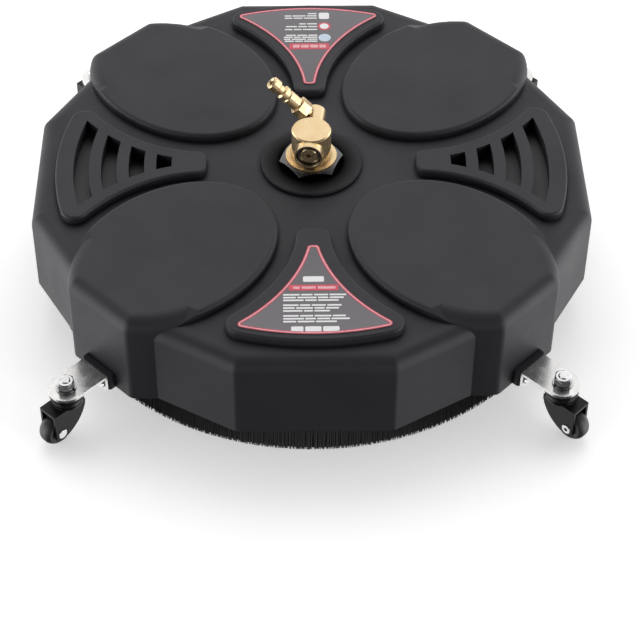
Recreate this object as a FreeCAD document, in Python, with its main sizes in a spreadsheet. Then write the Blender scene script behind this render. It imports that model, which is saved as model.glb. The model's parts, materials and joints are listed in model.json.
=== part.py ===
import FreeCAD, Part
import math
import os
import Sketcher

DOC = FreeCAD.newDocument("surface_cleaner")
DIM = DOC.addObject("Spreadsheet::Sheet", "Dim")
Z_AXIS = FreeCAD.Vector(0, 0, 1)
Y_AXIS = FreeCAD.Vector(0, 1, 0)
X_AXIS = FreeCAD.Vector(1, 0, 0)
CORNERS = {"rear_right": 45, "rear_left": 135, "front_left": 225, "front_right": 315}
NODES = []

# Driving dimensions in millimetres and degrees. Heights are measured from the floor.
DIMENSIONS = {
    # moulded housing
    "rim": 33, "deck": 110, "across_flats": 462, "wall": 4, "shoulder": 12, "edge_round": 6,
    "oval_offset": 158, "oval_major": 94, "oval_minor": 71.5, "oval_flat": 241, "oval_corner": 7,
    "oval_edge": 3.5, "fade_top": 202, "fade_foot": 222, "rise": 8, "pad_inner": 88, "pad_outer": 214,
    "pad_gap": 14.5, "pad_corner": 12, "pad_tip_round": 8, "pad_edge": 2.2,
    "hub_radius": 42.5, "hub_rise": 3.5, "hub_edge": 1.5,
    "vent_inner": 117, "vent_width": 13, "vent_pitch": 23, "vent_margin": 26, "vent_shift": 5,
    "vent_reach": 85, "collar_wall": 2.5, "collar_low": 106,
    # splash baffles under the vents
    "baffle_top": 102, "baffle_thick": 2.5, "baffle_inner": 70, "baffle_outer": 218,
    "baffle_half": 19, "baffle_post": 3.5, "baffle_near": 78, "baffle_far": 214,
    "post_radius": 6, "post_circle": 206, "pilot_radius": 2.1,
    "seat_deep": 6.5, "seat_half": 16, "seat_top": 49, "seat_round": 3,
    # labels
    "front_label_inner": 109, "rear_label_inner": 97, "label_outer": 208,
    "front_label_margin": 25.8, "rear_label_margin": 23.5, "label_thick": 0.6,
    "label_corner": 3.5, "label_tip": 3.5,
    # inlet swivel stack on the hub axis
    "barrel_radius": 18, "nut_flats": 47, "nut_high": 5.5, "flange_radius": 21.4,
    "flange_high": 1.8, "head_radius": 16.5, "head_high": 27.2, "washer_radius": 30,
    "gasket_thick": 2, "washer_thick": 2, "lower_flats": 46, "lower_high": 8,
    "barrel_end": 90.3,
    "bearing_outer": 14, "bearing_inner": 6, "bearing_high": 8, "bearing_low": 92.5,
    "race_gap": 4, "outer_race_wall": 1.9, "inner_race_wall": 1.9, "ball_radius": 2.38,
    "ball_circle": 10, "groove_clear": 0.05, "ring_thick": 1.2, "seal_radius": 10,
    "seal_high": 5.4, "port_radius": 4, "port_height": 135.5, "head_turn": -7,
    # front boss and tilting inlet
    "boss_radius": 11.75, "boss_reach": 21.5, "recess_radius": 10.5, "recess_depth": 5.5,
    "stem_radius": 7, "run_clear": 0.05, "stem_front": 19.7, "stem_back": 17.2,
    "knuckle_radius": 8.75, "knuckle_end": 38, "plug_angle": 45, "oring_section": 0.9,
    "plug_centre": 28, "plug_base": 5.5, "plug_reach": 52, "plug_tip_radius": 6,
    "plug_flats": 15, "plug_bore": 3,
    # rotor
    "shaft_end": 120, "shaft_foot": 67, "shaft_collar": 8, "manifold_low": 64,
    "manifold_high": 88, "manifold_side": 34, "arm_height": 77, "arm_radius": 6.9,
    "arm_wall": 2.2, "arm_start": 12, "arm_end": 177, "holder_circle": 183,
    "holder_radius": 9.5, "holder_low": 64, "holder_high": 87, "nozzle_low": 46,
    "nozzle_lean": 15, "rotor_turn": 28,
    # brush skirt
    "brush_outer": 222, "brush_inner": 213.5, "carrier_outer": 224.5,
    "carrier_inner": 200, "carrier_low": 34, "carrier_top": 50, "carrier_thick": 3,
    "carrier_lip": 2, "screw_head": 4.5, "screw_head_high": 3, "screw_reach": 64,
    # caster stations
    "bracket_width": 29, "bracket_thick": 2.5, "bracket_top": 48.3, "swivel_offset": 278,
    "bolt_radius": 2, "bolt_spread": 9.5, "bolt_height": 39.5, "bolt_head": 3.6,
    "bolt_head_high": 2, "bolt_nut_flats": 7, "bolt_nut_high": 3, "stud_radius": 4,
    "stud_top": 57.8, "stud_head": 6.5, "stud_head_high": 2.4, "stud_nut_flats": 13,
    "stud_nut_high": 5.5, "flat_washer": 8, "flat_washer_high": 1.2, "spring_washer": 6.6,
    "spring_washer_high": 1.8, "fork_top": 34.8, "fork_width": 18, "fork_front": 21,
    "fork_back": 10.5, "fork_plate": 2.5, "cheek": 2.1, "cheek_round": 7.5, "race_top": 45.8,
    "race_split": 40.5, "upper_race": 14, "lower_race": 12.6, "axle_offset": 15.3,
    "axle_height": 13, "axle_radius": 2.5, "rivet_head": 4.3, "rivet_head_high": 1,
    "wheel_radius": 13, "wheel_width": 13.4, "tread_round": 5,
}
VENT_ROWS = 4


def fill_sheet():
    """One spreadsheet row per driving dimension."""
    for row, (name, number) in enumerate(DIMENSIONS.items(), start=1):
        DIM.set("A%d" % row, name)
        DIM.set("B%d" % row, str(number))
        DIM.setAlias("B%d" % row, name)
    DOC.recompute()


def value(expression):
    """Number that an expression over the sheet's aliases gives."""
    result = DIM.evalExpression(bind(expression))
    return float(getattr(result, "Value", result))


def bind(expression):
    """Spell bare aliases as references to the sheet."""
    words = []
    word = ""
    for char in str(expression) + " ":
        if char.isalnum() or char in "_.":
            word += char
            continue
        words.append("Dim." + word if word in DIMENSIONS else word)
        words.append(char)
        word = ""
    return "".join(words).strip()


def tie(thing, **expressions):
    """Bind properties of an object to expressions over the sheet."""
    for name, expression in expressions.items():
        thing.setExpression(name, bind(expression))
    return thing


def turned(angle, axis=Z_AXIS, at=(0, 0, 0)):
    """Placement that turns about an axis through the origin, then moves."""
    return FreeCAD.Placement(FreeCAD.Vector(*at), FreeCAD.Rotation(axis, angle))


def node(thing, label, placement=None):
    """Name a finished sub-part; its label names its file."""
    thing.Label = label
    if placement is not None:
        thing.Placement = placement
    NODES.append(thing)
    return thing


# ---------------------------------------------------------------- PartDesign helpers
def new_body(name):
    return DOC.addObject("PartDesign::Body", name)


def new_sketch(body, plane="XY_Plane", height=None):
    """Sketch on one of the body's origin planes, moved along its normal by height."""
    drawing = body.newObject("Sketcher::SketchObject", body.Name + "_sketch")
    support = [item for item in body.Origin.OriginFeatures if item.Role == plane][0]
    drawing.AttachmentSupport = [(support, "")]
    drawing.MapMode = "FlatFace"
    if height is not None:
        drawing.setExpression("AttachmentOffset.Base.z", bind(height))
    return drawing


def pin_point(drawing, index, which, point):
    """Hold one vertex at expressions for its two coordinates."""
    for kind, expression in zip(("DistanceX", "DistanceY"), point):
        number = value(expression)
        made = drawing.addConstraint(Sketcher.Constraint(kind, index, which, number))
        drawing.setExpression("Constraints[%d]" % made, bind(expression))


def outline(drawing, points):
    """Closed outline. A point is (x, y), or (x, y, r) where the edge leaving it is an arc
    of radius r, bulging to the right of travel (a negative r bulges to the left)."""
    places = [FreeCAD.Vector(value(point[0]), value(point[1]), 0) for point in points]
    first = drawing.GeometryCount
    count = len(points)
    ends = []
    for index, point in enumerate(points):
        start, stop = places[index], places[(index + 1) % count]
        if len(point) == 2:
            drawing.addGeometry(Part.LineSegment(start, stop))
            ends.append((1, 2))
            continue
        radius = value(point[2])
        ends.append(add_arc(drawing, start, stop, radius))
        made = drawing.addConstraint(Sketcher.Constraint("Radius", first + index, abs(radius)))
        drawing.setExpression("Constraints[%d]" % made, bind("abs(%s)" % point[2]))
    for index in range(count):
        after = (index + 1) % count
        drawing.addConstraint(Sketcher.Constraint(
            "Coincident", first + index, ends[index][1], first + after, ends[after][0]))
        pin_point(drawing, first + index, ends[index][0], points[index][:2])


def add_arc(drawing, start, stop, radius):
    """Arc shorter than half a turn; returns which of its vertices are start and stop."""
    chord = stop - start
    side = FreeCAD.Vector(chord.y, -chord.x, 0).normalize()
    depth = math.sqrt(max(radius * radius - chord.Length ** 2 / 4, 0))
    bulge = 1 if radius > 0 else -1
    middle = (start + stop) * 0.5
    top = middle + side * bulge * (abs(radius) - depth)
    index = drawing.addGeometry(Part.Arc(start, top, stop))
    return (1, 2) if (drawing.getPoint(index, 1) - start).Length < 1e-6 else (2, 1)


def circle(drawing, radius, at=("0", "0")):
    centre = FreeCAD.Vector(value(at[0]), value(at[1]), 0)
    index = drawing.addGeometry(Part.Circle(centre, Z_AXIS, value(radius)))
    made = drawing.addConstraint(Sketcher.Constraint("Radius", index, value(radius)))
    drawing.setExpression("Constraints[%d]" % made, bind(radius))
    pin_point(drawing, index, 3, at)


def hexagon(drawing, flats, at=("0", "0"), turn=0):
    """Regular hexagon, given across its flats."""
    corners = []
    for step in range(6):
        angle = math.radians(60 * step + turn)
        corners.append(("%s+(%s)/sqrt(3)*%.9f" % (at[0], flats, math.cos(angle)),
                        "%s+(%s)/sqrt(3)*%.9f" % (at[1], flats, math.sin(angle))))
    outline(drawing, corners)


def pad(body, drawing, length, reverse=False, middle=False):
    made = body.newObject("PartDesign::Pad", body.Name + "_pad")
    made.Profile = drawing
    made.setExpression("Length", bind(length))
    made.Reversed = reverse
    made.Midplane = middle
    return made


def pocket(body, drawing, length=None, reverse=False, middle=False):
    """Cut, through everything when no length is given; it has to remove material."""
    DOC.recompute()
    before = body.Shape.Volume
    made = body.newObject("PartDesign::Pocket", body.Name + "_pocket")
    made.Profile = drawing
    if length is None:
        made.Type = 1
    else:
        made.setExpression("Length", bind(length))
    made.Reversed = reverse
    made.Midplane = middle
    DOC.recompute()
    assert body.Shape.Volume < before - 1e-3, body.Name + ": the pocket removed nothing"
    return made


def revolve(body, drawing, axis="V_Axis"):
    made = body.newObject("PartDesign::Revolution", body.Name + "_turn")
    made.Profile = drawing
    made.ReferenceAxis = (drawing, [axis])
    made.Angle = 360
    return made


def lathe(name, points, plane="XZ_Plane", axis="V_Axis"):
    """Body turned from one outline of (radius, height) points."""
    body = new_body(name)
    drawing = new_sketch(body, plane)
    outline(drawing, points)
    revolve(body, drawing, axis)
    return body


def ring(name, outer, inner, low, high):
    """Plain ring about the Z axis."""
    return lathe(name, [(inner, low), (outer, low), (outer, high), (inner, high)])


# ---------------------------------------------------------------- Part helpers
def cylinder(name, radius, low, length, turn=None):
    made = DOC.addObject("Part::Cylinder", name)
    tie(made, Radius=radius, Height=length)
    if turn is not None:
        made.Placement = turn
    made.setExpression("Placement.Base.z", bind(low))
    return made


def joined(name, things):
    made = DOC.addObject("Part::MultiFuse", name)
    made.Shapes = things
    return made


def cut(name, base, tool):
    made = DOC.addObject("Part::Cut", name)
    made.Base = base
    made.Tool = tool
    return made


def common(name, things):
    made = DOC.addObject("Part::MultiCommon", name)
    made.Shapes = things
    return made


def rounded(name, base, rule, radius):
    """Fillet the edges of base that the rule picks."""
    DOC.recompute()
    size = value(radius)
    chosen = [(index, size, size) for index, edge in enumerate(base.Shape.Edges, start=1)
              if rule(edge)]
    made = DOC.addObject("Part::Fillet", name)
    made.Base = base
    made.Edges = chosen
    DOC.recompute()
    return made


def upright(edge):
    """Straight edge parallel to Z."""
    line = edge.lastVertex().Point - edge.firstVertex().Point
    return abs(line.z) > 0.999 * edge.Length


def level_at(height):
    """Rule that picks the edges lying at one height."""
    level = value(height)

    def rule(edge):
        box = edge.BoundBox
        return abs(box.ZMin - level) < 1e-4 and abs(box.ZMax - level) < 1e-4
    return rule


# ---------------------------------------------------------------- housing
def oval_prism(name, grow, low, high, angle):
    """Upright prism on one of the four oval outlines, grown by an offset."""
    rim_line = DOC.addObject("Part::Ellipse", name + "_line")
    tie(rim_line, MajorRadius="oval_major+(%s)" % grow, MinorRadius="oval_minor+(%s)" % grow)
    reach = value("oval_offset")
    spot = (reach * math.cos(math.radians(angle)), reach * math.sin(math.radians(angle)),
            value(low))
    rim_line.Placement = turned(angle, at=spot)
    made = DOC.addObject("Part::Extrusion", name)
    made.Base = rim_line
    made.DirMode = "Custom"
    made.Dir = Z_AXIS
    made.Solid = True
    tie(made, LengthFwd="(%s)-(%s)" % (high, low))
    return made


def flat_limit(name, offset, low, high, angle):
    """Box that keeps what lies nearer the hub than one diagonal flat."""
    made = DOC.addObject("Part::Box", name)
    tie(made, Length=offset, Width="across_flats", Height="(%s)-(%s)" % (high, low))
    half = value("across_flats") / 2
    turn = FreeCAD.Rotation(Z_AXIS, angle)
    made.Placement = FreeCAD.Placement(turn.multVec(FreeCAD.Vector(0, -half, value(low))), turn)
    return made


def twelve_sided(name, inset, low, top):
    """Twelve-sided drum with rounded corners and shoulder."""
    drum = DOC.addObject("Part::Prism", name + "_prism")
    drum.Polygon = 12
    drum.Placement = turned(15)
    tie(drum, Circumradius="(across_flats/2-(%s))/cos(15)" % inset, Height="(%s)-(%s)" % (top, low))
    drum.setExpression("Placement.Base.z", bind(low))
    soft = rounded(name + "_corners", drum, upright, "edge_round")
    return rounded(name, soft, level_at(top), "shoulder-(%s)" % inset)


def crisp_oval(name, top, angle):
    """Sharper edge of a raised oval on the deck, sinking into the soft one near the wall."""
    prism = oval_prism(name + "_prism", "0", "deck-1", top, angle)
    soft = rounded(name + "_soft", prism, level_at(top), "oval_edge")
    cone = DOC.addObject("Part::Cone", name + "_cone")
    tie(cone, Radius1="fade_foot", Radius2="fade_top", Height="rise+1")
    cone.setExpression("Placement.Base.z", bind("deck-1"))
    return common(name, [soft, cone])


def raised_oval(name, inset, low, top, angle):
    """One raised oval, cut flat on the diagonal where a caster bracket bolts on."""
    prism = oval_prism(name + "_prism", "-(%s)" % inset, low, top, angle)
    limit = flat_limit(name + "_limit", "oval_flat-(%s)" % inset, low, top, angle)
    both = common(name + "_common", [prism, limit])
    soft = rounded(name + "_corners", both, on_flat(angle, inset), "oval_corner-(%s)" % inset)
    return rounded(name, soft, level_at(top), "shoulder-(%s)" % inset)


def on_flat(angle, inset):
    """Rule that picks the upright edges at the ends of one diagonal flat."""
    way = FreeCAD.Rotation(Z_AXIS, angle).multVec(X_AXIS)
    reach = value("oval_flat-(%s)" % inset)

    def rule(edge):
        return upright(edge) and abs(edge.CenterOfMass.dot(way) - reach) < 0.01
    return rule


def tapered_pads(name, low, top, gap, inner, outer):
    """The four tapered fields left on a disc between the grown ovals."""
    disc = cylinder(name + "_disc", outer, low, "(%s)-(%s)" % (top, low))
    tools = [cylinder(name + "_eye", inner, low, "(%s)-(%s)" % (top, low))]
    for angle in CORNERS.values():
        tools.append(oval_prism("%s_oval_%d" % (name, angle), gap, low, top, angle))
    return cut(name + "_cut", disc, joined(name + "_tools", tools))


def side_keep(name, low, length):
    """Box over the left and right fields, but not over the front and rear ones."""
    keep = DOC.addObject("Part::Box", name)
    tie(keep, Length="across_flats", Width="2*vent_reach", Height=length)
    keep.Placement = turned(0, at=(-value("across_flats/2"), -value("vent_reach"), value(low)))
    return keep


def moved_forward(name, things):
    """Left and right fields, set a little towards the front."""
    sides = common(name, things)
    sides.Placement = turned(0, at=(0, -value("vent_shift"), 0))
    return sides


def housing_form(name, inset, low):
    """Outer shape of the housing, or of its cavity when inset is the wall."""
    deck = "deck-(%s)" % inset
    top = "deck+rise-(%s)" % inset
    pieces = [twelve_sided(name + "_drum", inset, low, deck)]
    for angle in CORNERS.values():
        pieces.append(raised_oval("%s_oval_%d" % (name, angle), inset, low, top, angle))
    fields = tapered_pads(name + "_pads", "deck-30", top, "pad_gap+(%s)" % inset,
                          "pad_inner+(%s)" % inset, "pad_outer-(%s)" % inset)
    keep = side_keep(name + "_side_keep", "deck-30", "30+rise")
    pads = joined(name + "_fields", [cut(name + "_label_fields", fields, keep),
                                     moved_forward(name + "_vent_fields", [fields, keep])])
    outer_half = value("pad_outer") * 0.9
    soft = rounded(name + "_pads_out", pads,
                   lambda edge: upright(edge) and flat_radius(edge) > outer_half,
                   "pad_corner-(%s)" % inset)
    soft = rounded(name + "_pads_tip", soft,
                   lambda edge: upright(edge) and flat_radius(edge) < outer_half / 2,
                   "pad_tip_round-(%s)" % inset)
    if inset == "0":
        soft = rounded(name + "_pads_top", soft, level_at(top), "pad_edge")
        for angle in CORNERS.values():
            pieces.append(crisp_oval("%s_crisp_%d" % (name, angle), top, angle))
    pieces.append(soft)
    hub = cylinder(name + "_hub", "hub_radius-(%s)" % inset, "deck-30",
                   "30+hub_rise-1.5*(%s)" % inset)
    if inset == "0":
        hub = rounded(name + "_hub_soft", hub, level_at("deck+hub_rise"), "hub_edge")
    pieces.append(hub)
    return joined(name, pieces)


def flat_radius(edge):
    """Distance of an edge's middle from the Z axis."""
    middle = edge.CenterOfMass
    return math.hypot(middle.x, middle.y)


def vent_sectors(name, grow, low, length):
    """Curved slots in rows across the left and right pads, grown all round."""
    field = tapered_pads(name + "_field", low, "(%s)+(%s)" % (low, length),
                         "vent_margin-(%s)" % grow, "vent_inner-(%s)" % grow, "pad_outer")
    rings = []
    for row in range(VENT_ROWS):
        inner = "vent_inner+%d*vent_pitch-(%s)" % (row, grow)
        wide = cylinder("%s_wide_%d" % (name, row), inner + "+vent_width+2*(%s)" % grow, low, length)
        rings.append(cut("%s_ring_%d" % (name, row), wide,
                         cylinder("%s_eye_%d" % (name, row), inner, low, length)))
    return moved_forward(name, [field, joined(name + "_rings", rings),
                                side_keep(name + "_keep", low, length)])


def bolt_holes():
    """Holes for the bracket bolts through the four diagonal flats."""
    holes = []
    for corner, angle in CORNERS.items():
        for side in (-1, 1):
            drill = DOC.addObject("Part::Cylinder", "drill_%s_%d" % (corner, side + 1))
            tie(drill, Radius="bolt_radius+run_clear", Height="3*wall+seat_deep")
            turn = FreeCAD.Rotation(Z_AXIS, angle)
            spot = FreeCAD.Vector(value("oval_flat-2*wall"), side * value("bolt_spread"),
                                  value("bolt_height"))
            drill.Placement = FreeCAD.Placement(
                turn.multVec(spot), turn.multiply(FreeCAD.Rotation(Y_AXIS, 90)))
            holes.append(drill)
    return holes


def bracket_seats():
    """Moulded seats that stand the bracket legs off the four diagonal flats."""
    seats = []
    for corner, angle in CORNERS.items():
        block = DOC.addObject("Part::Box", "bracket_seat_" + corner)
        tie(block, Length="seat_deep+wall/2", Width="2*seat_half", Height="seat_top-rim")
        turn = FreeCAD.Rotation(Z_AXIS, angle)
        spot = FreeCAD.Vector(value("oval_flat-wall/2"), -value("seat_half"), value("rim"))
        block.Placement = FreeCAD.Placement(turn.multVec(spot), turn)
        seats.append(rounded(block.Name + "_soft", block, on_flat(angle, "-seat_deep"),
                             "seat_round"))
    return seats


def around(count, start, radius):
    """Evenly spaced (x, y) spots on a circle about the hub axis."""
    spots = []
    for step in range(count):
        angle = math.radians(start + 360.0 * step / count)
        spots.append((radius * math.cos(angle), radius * math.sin(angle)))
    return spots


def screw_posts(name, radius, low, length):
    """Eight posts, or drillings, that the brush carrier screws up into."""
    made = []
    for index, (x, y) in enumerate(around(8, 22.5, value("post_circle"))):
        made.append(cylinder("%s_%d" % (name, index), radius, low, length,
                             turned(0, at=(x, y, 0))))
    return made


def make_housing():
    """Moulded twelve-sided cover with raised ovals, pads, vents, hub, posts and seats."""
    outside = housing_form("outside", "0", "rim")
    cavity = housing_form("cavity", "wall", "rim-5")
    shell = cut("housing_shell", outside, cavity)
    posts = screw_posts("post", "post_radius", "carrier_top", "deck-wall/2-carrier_top")
    collars = vent_sectors("collar", "collar_wall", "collar_low", "deck+rise-2-collar_low")
    solid = joined("housing_solid", [shell, collars] + posts + bracket_seats())
    eye = cylinder("hub_eye", "barrel_radius+run_clear", "deck-20", "60")
    drills = screw_posts("pilot", "pilot_radius", "carrier_top-1", "screw_reach-carrier_top+2")
    slots = vent_sectors("vent", "0", "collar_low-10", "60")
    tools = joined("housing_tools", [slots, eye] + bolt_holes() + drills)
    node(cut("housing_cut", solid, tools), "housing")


def make_baffles():
    """Plate on three posts under each set of vents; air passes over its edges."""
    plates = []
    for side in (0, 180):
        name = "baffle_%d" % side
        low = "baffle_top-baffle_thick"
        wide = cylinder(name + "_wide", "baffle_outer", low, "baffle_thick",
                        turned(side - value("baffle_half")))
        wide.Angle = 2 * value("baffle_half")
        plate = cut(name + "_plate", wide,
                    cylinder(name + "_eye", "baffle_inner", low, "baffle_thick"))
        pieces = [plate]
        for reach, lean in (("baffle_near", 0), ("baffle_far", -12), ("baffle_far", 12)):
            angle = math.radians(side + lean)
            spot = (value(reach) * math.cos(angle), value(reach) * math.sin(angle), 0)
            pieces.append(cylinder("%s_post_%d" % (name, len(pieces)), "baffle_post", low,
                                   "deck-wall-baffle_top+baffle_thick", turned(0, at=spot)))
        plates.append(joined(name, pieces))
    group = DOC.addObject("Part::Compound", "baffles_group")
    group.Links = plates
    group.Placement = turned(0, at=(0, -value("vent_shift"), 0))
    node(group, "vent_baffles")


def make_label(label, angle):
    """Thin printed plate lying on the front or the rear pad."""
    inner = label + "_inner"
    field = tapered_pads(label + "_field", "deck+rise", "deck+rise+label_thick",
                         label + "_margin", inner, "label_outer")
    keep = DOC.addObject("Part::Box", label + "_keep")
    tie(keep, Length="across_flats/2", Width="across_flats/2", Height="label_thick")
    half = value("across_flats") / 4
    turn = FreeCAD.Rotation(Z_AXIS, angle)
    keep.Placement = FreeCAD.Placement(
        turn.multVec(FreeCAD.Vector(value(inner + "-10"), -half, value("deck+rise"))), turn)
    piece = common(label + "_piece", [field, keep])
    middle = value("(label_outer+%s)/2" % inner)
    soft = rounded(label + "_tip", piece,
                   lambda edge: upright(edge) and flat_radius(edge) < middle, "label_tip")
    node(rounded(label + "_soft", soft,
                 lambda edge: upright(edge) and flat_radius(edge) > middle + 20,
                 "label_corner"), label)


# ---------------------------------------------------------------- inlet swivel, fixed pieces
def hex_ring(name, flats, bore, low, length):
    """Plain hexagonal nut about the Z axis."""
    body = new_body(name)
    drawing = new_sketch(body, height=low)
    hexagon(drawing, flats)
    circle(drawing, bore)
    pad(body, drawing, length)
    return body


def chamfered_nut(name, flats, bore, low, length, relief):
    """Hexagonal nut whose top corners are turned off to a cone."""
    body = hex_ring(name, flats, bore, low, length)
    drawing = new_sketch(body, "XZ_Plane")
    high = "(%s)+(%s)" % (low, length)
    outline(drawing, [("(%s)/2-0.6" % flats, high), ("(%s)/2+12" % flats, high),
                      ("(%s)/2+12" % flats, "%s-(%s)-12*0.55" % (high, relief))])
    DOC.recompute()
    before = body.Shape.Volume
    groove = body.newObject("PartDesign::Groove", name + "_groove")
    groove.Profile = drawing
    groove.ReferenceAxis = (drawing, ["V_Axis"])
    groove.Angle = 360
    DOC.recompute()
    assert body.Shape.Volume < before, name + ": the chamfer removed nothing"
    return body


def make_swivel_body():
    """Brass barrel, flange and head in one, with the seal bore, port and front boss."""
    top = "deck+hub_rise+nut_high"
    head = "(%s)+flange_high" % top
    crown = "(%s)+head_high" % head
    turned_part = lathe("swivel_turned", [
        ("bearing_outer", "barrel_end"), ("barrel_radius-1", "barrel_end"),
        ("barrel_radius", "barrel_end+1"), ("barrel_radius", top), ("flange_radius", top),
        ("flange_radius", head), ("head_radius", head), ("head_radius", crown + "-1"),
        ("head_radius-1", crown), ("0", crown), ("0", "port_height"),
        ("port_radius", "port_height"), ("port_radius", "shaft_end+0.5"),
        ("seal_radius", "shaft_end+0.5"), ("seal_radius", "bearing_low+2*bearing_high+race_gap"),
        ("bearing_outer", "bearing_low+2*bearing_high+race_gap")])
    boss = DOC.addObject("Part::Cylinder", "swivel_boss")
    tie(boss, Radius="boss_radius", Height="boss_reach")
    boss.Placement = FreeCAD.Placement(FreeCAD.Vector(0, 0, value("port_height")),
                                       FreeCAD.Rotation(X_AXIS, 90))
    whole = joined("swivel_whole", [turned_part, boss])
    bore = sideways_cylinder("swivel_bore", "stem_radius+run_clear", "-boss_reach-1",
                             "2*boss_reach")
    recess = sideways_cylinder("swivel_recess", "recess_radius", "-boss_reach-1",
                               "recess_depth+1")
    clip_groove = cylinder("swivel_clip_groove", "bearing_outer+0.8",
                           "bearing_low-ring_thick", "ring_thick")
    tools = joined("swivel_tools", [bore, recess, clip_groove])
    node(cut("swivel_cut", whole, tools), "swivel_body", turned(value("head_turn")))


def sideways_cylinder(name, radius, start, length):
    """Cylinder along +Y at the height of the tilting stem."""
    made = DOC.addObject("Part::Cylinder", name)
    tie(made, Radius=radius, Height=length)
    made.Placement = FreeCAD.Placement(
        FreeCAD.Vector(0, value(start), value("port_height")), FreeCAD.Rotation(X_AXIS, -90))
    return made


def make_hub_stack():
    """Nuts, washer, gasket, bearing rings, spacer, circlip and seal round the hub axis."""
    ceiling = "deck+hub_rise-1.5*wall"
    bore = "barrel_radius+run_clear"
    node(chamfered_nut("clamp_nut_body", "nut_flats", bore, "deck+hub_rise", "nut_high", "1"),
         "clamp_nut", turned(8))
    node(ring("hub_gasket_body", "washer_radius+2", bore, ceiling + "-gasket_thick", ceiling),
         "hub_gasket")
    washer_low = ceiling + "-gasket_thick-washer_thick"
    node(ring("lower_washer_body", "washer_radius", bore, washer_low,
              ceiling + "-gasket_thick"), "lower_washer")
    node(hex_ring("lower_nut_body", "lower_flats", bore, washer_low + "-lower_high",
                  "lower_high"), "lower_nut")
    node(race_pair("outer_race", "bearing_outer", "bearing_outer-outer_race_wall",
                   "ball_radius+groove_clear"), "outer_races")
    node(ring("race_spacer_body", "bearing_outer", "bearing_outer-outer_race_wall",
              "bearing_low+bearing_high", "bearing_low+bearing_high+race_gap"), "race_spacer")
    node(ring("bore_circlip_body", "bearing_outer+0.8", "bearing_outer-2.2",
              "bearing_low-ring_thick", "bearing_low"), "bore_circlip")
    node(ring("seal_body", "seal_radius", "bearing_inner+run_clear", "shaft_end-seal_high-0.5",
              "shaft_end-0.5"), "high_pressure_seal")


def race_pair(name, plain, grooved, bend):
    """Two bearing rings, one above the other, with a ball groove round one wall."""
    half = "sqrt((%s)^2-(ball_circle-(%s))^2)" % (bend, grooved)
    rings = []
    for step in (0, 1):
        low = "bearing_low+%d*(bearing_high+race_gap)" % step
        high = low + "+bearing_high"
        middle = low + "+bearing_high/2"
        rings.append(lathe("%s_ring_%d" % (name, step), [
            (plain, low), (grooved, low), (grooved, "%s-%s" % (middle, half), bend),
            (grooved, "%s+%s" % (middle, half)), (grooved, high), (plain, high)]))
    group = DOC.addObject("Part::Compound", name + "_rings")
    group.Links = rings
    return group


# ---------------------------------------------------------------- tilting inlet
def inlet_placement(across=0.0, tilt=0.0):
    """Frame of the tilting inlet: local Z runs along the stem towards the rear."""
    spin = FreeCAD.Rotation(Z_AXIS, value("head_turn"))
    lay = FreeCAD.Rotation(X_AXIS, -90)
    return FreeCAD.Placement(spin.multVec(FreeCAD.Vector(0, across, value("port_height"))),
                             spin.multiply(lay).multiply(FreeCAD.Rotation(Z_AXIS, tilt)))


def make_inlet():
    """Stem through the head, its clip, washer and seals, and the quick plug it carries."""
    make_stem()
    washer_face = "-boss_reach+recess_depth"
    node(ring("pivot_washer_body", "recess_radius-0.3", "stem_radius+run_clear",
              washer_face + "-1", washer_face + "-0.05"), "pivot_washer", inlet_placement())
    node(ring("pivot_circlip_body", "recess_radius-1.6", "stem_radius-1",
              washer_face + "-1-ring_thick", washer_face + "-1"), "pivot_circlip",
         inlet_placement())
    body = new_body("pivot_orings_body")
    drawing = new_sketch(body, "XZ_Plane")
    for side in ("-9", "9"):
        circle(drawing, "oring_section", ("stem_radius-oring_section", side))
    revolve(body, drawing)
    node(body, "pivot_orings", inlet_placement())
    make_plug()


def make_stem():
    """Turned stem with clip and seal grooves, water gallery and rear knuckle."""
    clip_high = "-boss_reach+recess_depth-1"
    clip_low = clip_high + "-ring_thick"
    points = [("0", "-stem_front"), ("stem_radius-0.6", "-stem_front"),
              ("stem_radius", "-stem_front+0.6"), ("stem_radius", clip_low),
              ("stem_radius-1", clip_low), ("stem_radius-1", clip_high),
              ("stem_radius", clip_high)]
    for side in ("-9", "9"):
        points += [("stem_radius", side + "-oring_section"),
                   ("stem_radius-2*oring_section", side + "-oring_section"),
                   ("stem_radius-2*oring_section", side + "+oring_section"),
                   ("stem_radius", side + "+oring_section")]
    points[11:11] = [("stem_radius", "-port_radius"), ("stem_radius-1.5", "-port_radius"),
                     ("stem_radius-1.5", "port_radius"), ("stem_radius", "port_radius")]
    points += [("stem_radius", "stem_back"), ("knuckle_radius-0.6", "stem_back"),
               ("knuckle_radius", "stem_back+0.6"), ("knuckle_radius", "knuckle_end-0.8"),
               ("knuckle_radius-0.8", "knuckle_end"), ("0", "knuckle_end")]
    body = lathe("stem_turned", points)
    gallery = DOC.addObject("Part::Cylinder", "stem_gallery")
    tie(gallery, Radius="plug_bore", Height="plug_centre+port_radius")
    gallery.setExpression("Placement.Base.z", bind("-port_radius"))
    socket = DOC.addObject("Part::Cylinder", "stem_socket")
    tie(socket, Radius="2.2", Height="3")
    socket.setExpression("Placement.Base.z", bind("-stem_front-1"))
    feed = leaning_cylinder("stem_feed", "plug_bore", "0", "stem_radius+2", "0")
    seat = leaning_cylinder("stem_seat", "plug_bore+1.5", "plug_base", "knuckle_radius", "1")
    node(cut("stem_cut", body, joined("stem_tools", [gallery, socket, feed, seat])),
         "pivot_stem", inlet_placement())


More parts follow.
